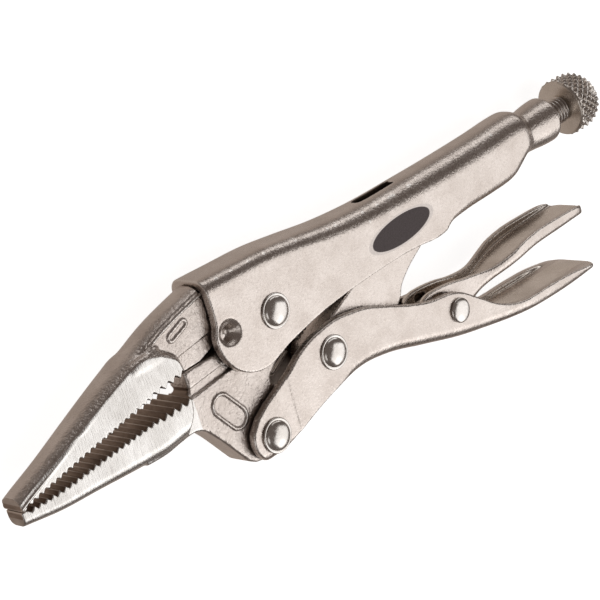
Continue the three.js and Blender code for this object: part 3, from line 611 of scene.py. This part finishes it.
def upper_jaw_field(b):
    half = ground_half(b.x)
    rear = through([(-48.4, 7.4), (-43.6, 7.4), (-40.5, 6.8), (-36.3, 5.2), (-33.1, 2.5), (-32.2, -0.65)])
    back_of_nose = [(-95, 25), (-56, 25), (-52.5, 8.3), *rear, (-32.2, -25), (-95, -25)]
    slant = 0.45 * np.clip(half - abs(b.z), 0, 2.5)
    nose = both(ridge_surface(b, half, 1.5), abs(b.z) - half, 0.4)
    nose = both(nose, inside_outline(back_of_nose, b.x, b.y) - slant, 0.7)
    mark = raised_ring(b, (-31.4, 7.6), (-26.8, 9.2), 1.0)
    edge = 0.3 * (1 - step_up(abs(above_line(RIDGE, b.x, b.y) + 2.4), 0.1, 0.5))
    ledge = 0.4 * step_up(b.y - 2.2 - 0.11 * (b.x + 30.8), -0.3, 0.2)
    back = both(ridge_surface(b, TONGUE_HALF, 1.3), abs(b.z) - TONGUE_HALF + 0.5 - mark - edge - ledge, 0.4)
    jaw = either(nose, back, 0.5)
    foot = round_bar(b.x, b.y, (-45, 6.6), (-38.5, 6.3), 1.8)
    foot = both(foot, abs(b.z) - TONGUE_HALF - 1.1, 1.0)
    jaw = either(jaw, both(foot, above_line(RIDGE, b.x, b.y) + 2.2, 1.0), 1.4)
    jaw = both(jaw, inside_outline(upper_side(), b.x, b.y), 0.12)
    return both(jaw, TIP_X - b.x, 0.2)


def upper_side():
    front = HANDLE_FRONT_X - JAW_GAP
    bottom = TONGUE_TOP_Y + JAW_GAP
    under_spine = [(x, float(height_at(SPINE, x)) - SHEET - 0.7) for x in (-1.6, -8, HANDLE_FRONT_X)]
    boss = arc((0, 0), JAW_BOSS_RADIUS + JAW_GAP, 172, 100)
    return [*tooth_line(UPPER_CRESTS, 1, THROAT_X - JAW_GAP), (THROAT_X - JAW_GAP, bottom), (-25, bottom),
            (front - 1, bottom + 1.4), (-9.3, bottom + 3), *boss, *under_spine,
            (front - 0.1, under_spine[-1][1] - 0.3), (front - 0.2, 40), (TIP_X - 6, 40)]


def lower_jaw_field(b):
    half = ground_half(b.x)
    rear = through([(-32.6, -8.5), (-33.6, -12.5), (-36.2, -16.2), (-40.5, -20.5)])
    back_of_nose = [(-95, 10), (-32.6, 10), *rear, (-44, -40), (-95, -40)]
    slant = 0.45 * np.clip(half - abs(b.z), 0, 2.5)
    belly = -above_line(LOWER_BOTTOM, b.x, b.y)
    nose = both(belly, abs(b.z) - half, 0.85 * half - 0.6)
    nose = both(nose, inside_outline(back_of_nose, b.x, b.y) - slant, 0.7)
    groove = b.y - 0.08 * (b.x + 25)
    recess = 0.6 * (step_up(groove, -9.3, -8.9) - step_up(groove, -6.9, -6.5)) * (b.x > -36)
    recess = recess + 0.25 * step_up(groove, -9.3, -8.9) * (b.x > -36)
    mark = raised_ring(b, (-23.3, -15.6), (-19.6, -21.0), 2.9)
    side = inside_outline(lower_side(), b.x, b.y)
    neck = both(abs(b.z) - TONGUE_HALF + 0.15 + recess - mark, side, 0.9)
    neck = both(neck, -50 - b.x)
    jaw = either(nose, neck, 0.5)
    jaw = both(both(jaw, side, 0.12), TIP_X - b.x, 0.2)
    for hole in ((0, 0), LEVER_PIVOT):
        jaw = less(jaw, pin(b, hole, MAIN_HOLE_RADIUS), 0.15)
    return jaw


def lower_side():
    bottom = through([*LOWER_BOTTOM[:-2], (-38, -18.4), (-33.6, -18.2), (-30.6, -19.4), (-28.4, -22),
                      (-26, -25.2), (-22, -31.2), (-20.4, -33.4), (-18, -35)])
    notch = arc(SPRING_FRONT, HOOK_NOTCH_RADIUS, 230, 110)
    boss = arc((0, 0), JAW_BOSS_RADIUS, -62, 188, 40)
    teeth = tooth_line(LOWER_CRESTS, -1, THROAT_X)[::-1]
    return [*bottom, *arc(LEVER_PIVOT[:2], 6.2, 262, 350), (-5.6, -25), *notch, (-0.5, -12.6), *boss,
            (-9.5, TONGUE_TOP_Y), (THROAT_X, TONGUE_TOP_Y), *teeth]


def jaw_faces(crests, direction):
    """Picks ground flats, the tooth rows with painted shade between the teeth, the cut tip and the forged
    skin.
    """
    def choose(centres, normals):
        x, y, z = centres.T
        line = height_at(crests, x) + direction * 0.3 * COARSE_DEPTH
        near_teeth = (abs(y - line) < 1.3) & (x < THROAT_X + 0.4) & (abs(normals[:, 2]) < 0.6)
        lean = 0.93 if direction > 0 else 0.35
        on_flat = (abs(normals[:, 2]) > lean) & (abs(z) > 0.45 * ground_half(x)) & (x < THROAT_X)
        on_flat &= (abs(z) > ground_half(x) - 0.35) | (direction < 0)
        index = np.zeros(len(x), int)
        index[on_flat] = 1
        index[(normals[:, 0] < -0.8) & (x < TIP_X + 0.4)] = 2
        index[near_teeth] = 3
        return index
    return choose


def build_jaws():
    skins = [forged, ground, cut_end, tooth_shade_skin]
    block = Block((TIP_X - 1, -13, -8), (-0.5, 18, 8), JAW_GRID)
    solid_piece("upper_jaw_forging", block, upper_jaw_field(block), "frame_body", "upper_jaw",
                skins, jaw_faces(UPPER_CRESTS, 1))
    block = Block((TIP_X - 1, -37.5, -8), (10, 10, 8), JAW_GRID)
    solid_piece("lower_jaw_forging", block, lower_jaw_field(block), "lower_jaw_body",
                "lower_jaw", skins, jaw_faces(LOWER_CRESTS, -1))


# ---- Lever, link and release lever -----------------------------------------------------------

LEVER_WEB = [(8, -36), (15, -30.5), (20, -28.6), (24, -28.3), (34, -29.6), (47, -33.5), (62, -38),
             (75, -40.7), (88, -42.2), (104, -42.9), (119, -42.5)]
LEVER_RIM = [(-1.5, -16.9), (3, -14.3), (8, -12.5), (13, -11.7), (18, -11.4), (24, -12.2), (31, -14),
             (44, -19.7), (52, -22.5), (60, -23.9), (64.5, -25.8), (70, -30), (75, -34), (80, -36.6),
             (86, -37.9), (95, -38.2), (104, -38.8), (112, -40.1), (118, -41.2)]
LINK_SEAT_X = 66.5
RELEASE_WEB = [(45.5, -26), (52, -30.6), (58, -33.6), (66, -33.6), (75, -30.2), (86, -28.2), (96, -26.8),
               (108, -26.6), (121, -26.4)]
RELEASE_RIM = [(50.5, -24.2), (52.1, -22.6), (55, -21.8), (60, -22.1), (65, -22.9), (70, -24.1), (79, -25.3),
               (86, -24.4), (92, -23), (99, -22.3), (108, -22.5), (115, -23.0), (121.5, -24.2)]


def lever_cheek_edge():
    lobe = arc((LEVER_PIVOT[0] - 0.5, LEVER_PIVOT[1] + 0.4), 6.9, 150, 310, 30)
    lower = through([(-7, -34.4), (4, -30.9), (12.7, -28.8), (20, -28.4), (30, -31)])
    rim = through(LEVER_RIM)
    return [*lobe, *lower[1:], (60, -60), (LEVER_TAIL_X + 4, -60), (LEVER_TAIL_X + 4, -41.4), *rim[::-1],
            (-7, -19.3), (-11.6, -21.2), (-15.4, -23.3)]


def trough(b, web, half, radius, sheet):
    """A folded channel, open upwards, with its web on a line."""
    body = both(-above_line(web, b.x, b.y), abs(b.z) - half, radius)
    return less(body, body + sheet)


def tail_end(b, end_x, half, radius):
    """Plan rounding of a tail's corners."""
    return both(b.x - end_x, abs(b.z) - half - 0.02, radius)


def lever_field(b):
    half = CHANNEL_HALF + (LEVER_TAIL_HALF - CHANNEL_HALF) * step_up(b.x, 68, 90)
    half = half - 0.14 * (1 - step_up(b.x + 3.2 - 0.06 * (b.y + 25), -0.3, 0.3))
    body = trough(b, LEVER_WEB, half, 3.4, SHEET)
    body = both(body, inside_outline(lever_cheek_edge(), b.x, b.y), 0.6)
    body = both(body, tail_end(b, LEVER_TAIL_X, LEVER_TAIL_HALF, 5.5), 0.6)
    web_gap = both(abs(b.z) - (CHANNEL_HALF - SHEET), np.hypot(np.maximum(b.x - 14.5, 0), b.z) - 4.6)
    body = less(body, both(web_gap, b.x - 20), 0.4)
    for hole in (LEVER_PIVOT, LINK_PIVOT):
        body = less(body, pin(b, hole, MAIN_HOLE_RADIUS), 0.2)
    return less(body, pin(b, RELEASE_PIVOT, SMALL_HOLE_RADIUS), 0.2)


def release_field(b):
    inner = CHANNEL_HALF - SHEET - 0.35
    half = inner + (RELEASE_TAIL_HALF - inner) * step_up(b.x, 70, 92)
    body = trough(b, RELEASE_WEB, half, 2.6, RELEASE_SHEET)
    rim = [*through(RELEASE_RIM), (RELEASE_TAIL_X + 4, -60), (RELEASE_RIM[0][0], -60)]
    body = both(body, inside_outline(rim, b.x, b.y), 0.5)
    body = both(body, tail_end(b, RELEASE_TAIL_X, RELEASE_TAIL_HALF, 5.5), 0.5)
    arch = both(round_bar(b.x, b.y, (56.3, -24.4), (58.6, -24.9), 1.3), -25.4 - b.y)
    return less(less(body, arch, 0.2), pin(b, RELEASE_PIVOT, SMALL_HOLE_RADIUS), 0.2)


def link_field(b):
    seat = np.array((LINK_SEAT_X, SCREW_AXIS_Y))
    along = seat - LINK_PIVOT[:2]
    length = float(np.hypot(*along))
    cos, sin = along / length
    s = (b.x - LINK_PIVOT[0]) * cos + (b.y - LINK_PIVOT[1]) * sin
    d = (b.y - LINK_PIVOT[1]) * cos - (b.x - LINK_PIVOT[0]) * sin
    foot = through([(12, -6.2), (19, -8.6), (24.5, -11.8), (28.6, -10.6), (31.5, -8.6), (37, -7.2),
                    (45, -6.4), (52, -4.8)])
    outline = [*arc((0, 0), 5.4, 110, 262), *foot, *arc((length, 0), 4, -90, 90), (length - 12, 4.6),
               (20, 5.2), (5, 5.2)]
    body = both(inside_outline(outline, s, d), abs(b.z) - TONGUE_HALF, 0.7)
    return less(body, pin(b, LINK_PIVOT, MAIN_HOLE_RADIUS), 0.2)


def trough_faces(tail_start):
    """Picks the smoother skin for the inside of a tail and the dark painted-shade skin for the inside further
    forward.
    """
    def choose(centres, normals):
        x, z = centres[:, 0], centres[:, 2]
        on_web = (normals[:, 1] > 0.25) & (abs(z) < CHANNEL_HALF - SHEET)
        inward = on_web | (normals[:, 2] * np.sign(z) < -0.3)
        return np.where(inward, np.where(x > tail_start, 1, 2), 0)
    return choose


def build_levers():
    block = Block((-20, -44, -10.2), (118.6, -10, 10.2), SHEET_GRID)
    solid_piece("lever_shell", block, lever_field(block), "lever_body", "lower_lever",
                [satin, trough_skin, inside_shade_skin], trough_faces(64))
    block = Block((49.5, -35, -8.4), (121.2, -20, 8.4), SHEET_GRID)
    solid_piece("release_shell", block, release_field(block), "release_body", "release_lever",
                [satin, trough_skin, inside_shade_skin], trough_faces(40))
    block = Block((7, -26, -5), (72, 8.5, 5), LINK_GRID)
    solid_piece("link_forging", block, link_field(block), "link_body", "toggle_link", [satin])


# ---- Rivets, screw, knob and spring ----------------------------------------------------------

RIVET_SIDES = 72


def rivet_profile(shank, head, rim, crown):
    """A rivet from end to end: shank, flat rim, groove and dome on both sides."""
    seat = CHANNEL_HALF + 0.1
    dome = head - rim
    top = [(seat, head), (seat + 0.2, head), (seat + 0.35, head - 0.08), (seat + 0.42, head - 0.25),
           (seat + 0.42, dome + 0.12), (seat + 0.36, dome + 0.02)] if rim else [(seat, head)]
    for degrees in range(0, 88, 4):
        angle = math.radians(degrees)
        top.append((seat + 0.4 + crown * math.sin(angle), dome * math.cos(angle)))
    top.append((seat + 0.4 + crown, 0.02))
    bottom = [(-z, r) for z, r in reversed(top)]
    return [*bottom, (-seat, shank), (seat, shank), *top]


def build_rivets():
    rows = [("jaw_pivot_rivet", "jaw_pivot_pin", (0, 0), "frame_body", MAIN_RIVET),
            ("lever_jaw_rivet", "lever_jaw_pin", LEVER_PIVOT, "lever_body", MAIN_RIVET),
            ("lever_link_rivet", "lever_link_pin", LINK_PIVOT, "lever_body", MAIN_RIVET),
            ("release_rivet", "release_pin", RELEASE_PIVOT, "lever_body", SMALL_RIVET)]
    for node, name, centre, body, rivet in rows:
        points, faces = turned(rivet_profile(**rivet), RIVET_SIDES)
        points = points[:, [1, 2, 0]] + np.array([centre[0], centre[1], 0])
        make_piece(name, points, faces, body, node, [bright])


SCREW_RADIUS = 4.0
THREAD_PITCH = 1.25
THREAD_DEPTH = 0.62


def thread_wave(x, angle, radius):
    """A 60 degree screw thread cut into the rod."""
    turn = (x / THREAD_PITCH - angle / (2 * math.pi)) % 1
    return -THREAD_DEPTH * np.clip(2.4 * abs(turn - 0.5) - 0.15, 0, 1) * (radius > SCREW_RADIUS - 0.05)


def on_screw_axis(points):
    return points + np.array([0, SCREW_AXIS_Y, 0])


def build_screw():
    low, high = (from_pivot(corner)[0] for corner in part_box("adjusting_screw"))
    runs = np.arange(low + 1, high - 0.05, THREAD_PITCH / 8)
    profile = [(low, 1.0), (low, 3.0), (low + 0.1, 3.1), (low + 0.9, 3.4), *[(x, SCREW_RADIUS) for x in runs],
               (high, 3.3), (high, 1.0)]
    points, faces = turned(profile, 64, thread_wave)
    make_piece("screw_thread", on_screw_axis(points), faces, "screw_body", "adjusting_screw",
               [thread_skin])


KNURLS = 22
KNURL_DEPTH = 0.85
FACE_RADIUS = 7.8
KNOB_CROWN = 7.0
KNOB_RINGS = 90
KNURL_LEAD = 2.4


def knurl_wave(front):
    """Crossed grooves that leave rows of small pyramids behind the plain face."""
    def wave(x, angle, radius):
        lead = (x - front) / KNURL_LEAD
        first = abs((KNURLS * angle / (2 * math.pi) + lead) % 1 - 0.5) * 2
        second = abs((KNURLS * angle / (2 * math.pi) - lead) % 1 - 0.5) * 2
        pyramid = np.minimum(first, second)
        area = step_up(x, front + 0.5, front + 1.0) * step_up(radius, 2.0, 3.4)
        return -KNURL_DEPTH * area * (1 - np.clip(pyramid * 1.25, 0, 1))
    return wave


def knob_faces(front):
    """Picks the plain skin for the knob's front face."""
    def choose(centres, normals):
        return np.where((normals[:, 0] < -0.7) & (centres[:, 0] < front + 0.4), 1, 0)
    return choose


def build_knob():
    low, high = (from_pivot(corner)[0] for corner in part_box("screw_knob"))
    radius = from_pivot(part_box("screw_knob")[1])[2]
    profile = [(low, 0.5), (low, FACE_RADIUS - 0.3), (low + 0.08, FACE_RADIUS - 0.05),
               (low + 0.5, radius - 0.3)]
    for share in np.linspace(0, 1, KNOB_RINGS):
        x = low + 0.8 + (high - low - 0.85) * share
        bulge = max(0.0, (x - (high - KNOB_CROWN)) / KNOB_CROWN)
        profile.append((x, radius * math.sqrt(max(1 - bulge**2.4, 0.02))))
    profile.append((high, 0.5))
    points, faces = turned(profile, KNURLS * 16, knurl_wave(low))
    make_piece("knob_knurled", on_screw_axis(points), faces, "knob_body", "screw_knob",
               [knurled, knob_face], knob_faces(low))


COIL_RADIUS = 2.1
WIRE_RADIUS = 0.55
COILS = 24
HOOK_HALF = 1.3
FRONT_HOOK = 13.0
REAR_HOOK = 7.0
HOOK_TIP_GAP = 0.6
HOOK_ROOT_GAP = 1.2
COIL_STEPS = 20


def hook(tip, root):
    """A long hook in the middle plane: out along one side, round the tip and part of the way back."""
    way = 1 if root > tip else -1
    centre = tip + way * HOOK_HALF
    out = [(s, HOOK_HALF, 0.0) for s in np.linspace(root, centre, 8)]
    bend = [(centre - way * HOOK_HALF * math.sin(a), HOOK_HALF * math.cos(a), 0.0)
            for a in np.radians(range(15, 180, 15))]
    back = [(s, -HOOK_HALF, 0.0) for s in np.linspace(centre, centre + (root - centre) * 0.7, 6)]
    return out + bend + back


def spring_path():
    """The wire's centre line: a long front hook, close coils and a hook that reaches into the spine slot."""
    start, end = np.array(SPRING_FRONT), np.array(SPRING_REAR)
    along = (end - start) / np.linalg.norm(end - start)
    across = np.array((-along[1], along[0]))
    length = float(np.linalg.norm(end - start))
    coil_start, coil_end = FRONT_HOOK, length - REAR_HOOK
    path = hook(HOOK_TIP_GAP, coil_start - HOOK_ROOT_GAP)[::-1]
    count = COILS * COIL_STEPS
    for k in range(count + 1):
        angle = 2 * math.pi * COILS * k / count
        s = coil_start + (coil_end - coil_start) * k / count
        path.append((s, COIL_RADIUS * math.cos(angle), COIL_RADIUS * math.sin(angle)))
    path += hook(length - HOOK_TIP_GAP, coil_end + HOOK_ROOT_GAP)
    return [(*(start + s * along + t * across), z) for s, t, z in path]


def build_spring():
    path = np.array(spring_path())
    sides = 10
    ahead = np.gradient(path, axis=0)
    ahead /= np.linalg.norm(ahead, axis=1, keepdims=True)
    side = np.cross(ahead, np.array([0.3, -0.6, 0.74]))
    side /= np.linalg.norm(side, axis=1, keepdims=True)
    other = np.cross(ahead, side)
    angles = np.linspace(0, 2 * math.pi, sides, endpoint=False)
    ring = np.cos(angles)[None, :, None] * side[:, None] + np.sin(angles)[None, :, None] * other[:, None]
    points = (path[:, None] + WIRE_RADIUS * ring).reshape(-1, 3)
    faces = []
    for k in range(len(path) - 1):
        for s in range(sides):
            t = (s + 1) % sides
            faces.append((k * sides + s, k * sides + t, (k + 1) * sides + t, (k + 1) * sides + s))
    faces.append(tuple(range(sides))[::-1])
    faces.append(tuple((len(path) - 1) * sides + s for s in range(sides)))
    spring = make_piece("spring_wire", points, faces, None, "tension_spring", [wire])
    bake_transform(spring)


build_handle()
build_jaws()
build_levers()
build_rivets()
build_screw()
build_knob()
build_spring()


# ---- Floor, light and camera -----------------------------------------------------------------

FLOOR_HALF = 4.0
FLOOR_GLOW = 0.86
BELOW_LIGHT = (0.46, 0.40, 0.36)
ABOVE_LIGHT = (0.13, 0.11, 0.10)


def floor():
    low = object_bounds()[0][2]
    mesh = bpy.data.meshes.new("floor")
    signs = ((-1, -1), (1, -1), (1, 1), (-1, 1))
    corners = [(x * FLOOR_HALF, y * FLOOR_HALF, low) for x, y in signs]
    mesh.from_pydata(corners, [], [(0, 1, 2, 3)])
    material, nodes, links = new_material("floor_paper")
    shader = nodes["Principled BSDF"]
    shader.inputs["Base Color"].default_value = (0.8, 0.8, 0.8, 1)
    shader.inputs["Roughness"].default_value = 0.9
    shader.inputs["Emission Color"].default_value = (1, 1, 1, 1)
    shader.inputs["Emission Strength"].default_value = FLOOR_GLOW
    mesh.materials.append(material)
    ground_plane = bpy.data.objects.new("floor", mesh)
    bpy.context.scene.collection.objects.link(ground_plane)
    ground_plane.visible_glossy = False
    ground_plane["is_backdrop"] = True


def world_light():
    """Warm and mid-toned below, dark above, so that the softboxes draw the metal's shapes."""
    world = bpy.data.worlds.new("studio")
    world.use_nodes = True
    nodes, links = world.node_tree.nodes, world.node_tree.links
    way = nodes.new("ShaderNodeSeparateXYZ")
    links.new(nodes.new("ShaderNodeTexCoord").outputs["Generated"], way.inputs["Vector"])
    share = spread(nodes, links, way.outputs["Z"], 0, 1, -0.5, -0.1)
    colour = blend_colours(nodes, links, share, BELOW_LIGHT, ABOVE_LIGHT)
    links.new(colour, nodes["Background"].inputs["Color"])
    bpy.context.scene.world = world


def soft_box(name, direction, distance, size, brightness):
    """A rectangular area light of even brightness, aimed at the tool."""
    light = bpy.data.lights.new(name, "AREA")
    light.shape = "RECTANGLE"
    light.size, light.size_y = size
    light.energy = math.pi * size[0] * size[1] * brightness
    lamp = bpy.data.objects.new(name, light)
    way = Vector(direction).normalized()
    lamp.location = way * distance
    lamp.rotation_euler = way.to_track_quat("Z", "Y").to_euler()
    bpy.context.scene.collection.objects.link(lamp)


def lights():
    world_light()
    soft_box("key_softbox", (0.585, -0.45, 0.737), 1.2, (1.3, 1.2), 1.12)
    soft_box("edge_strip", (0.585, 0.82, 0.15), 1.2, (1.4, 0.35), 1.25)
    soft_box("core_softbox", (0.42, -0.72, 0.62), 1.1, (0.5, 0.5), 0.6)
    soft_box("back_softbox", (-0.8, -0.2, 0.5), 1.4, (0.8, 0.8), 0.8)


def camera():
    """The eye, the way it looks and its lens, measured from the jaw pivot."""
    eye = np.array((-338.889, 198.920, 444.906))
    ahead = Vector((0.585463, -0.336986, -0.737342)).normalized()
    up = Vector((0.434602, 0.898242, -0.065440))
    up = (up - ahead * up.dot(ahead)).normalized()
    right = ahead.cross(up)
    data = bpy.data.cameras.new("camera")
    data.lens = 138.0
    data.sensor_width = 36.0
    data.clip_start, data.clip_end = 0.01, 20
    turn = Matrix((right, up, -ahead)).transposed().to_4x4()
    place = Vector([a + b * MM for a, b in zip(PIVOT, eye)])
    eye_object = bpy.data.objects.new("camera", data)
    eye_object.matrix_world = Matrix.Translation(place) @ turn
    bpy.context.scene.collection.objects.link(eye_object)
    bpy.context.scene.camera = eye_object


bpy.context.scene.view_settings.view_transform = "Standard"
floor()
lights()
camera()
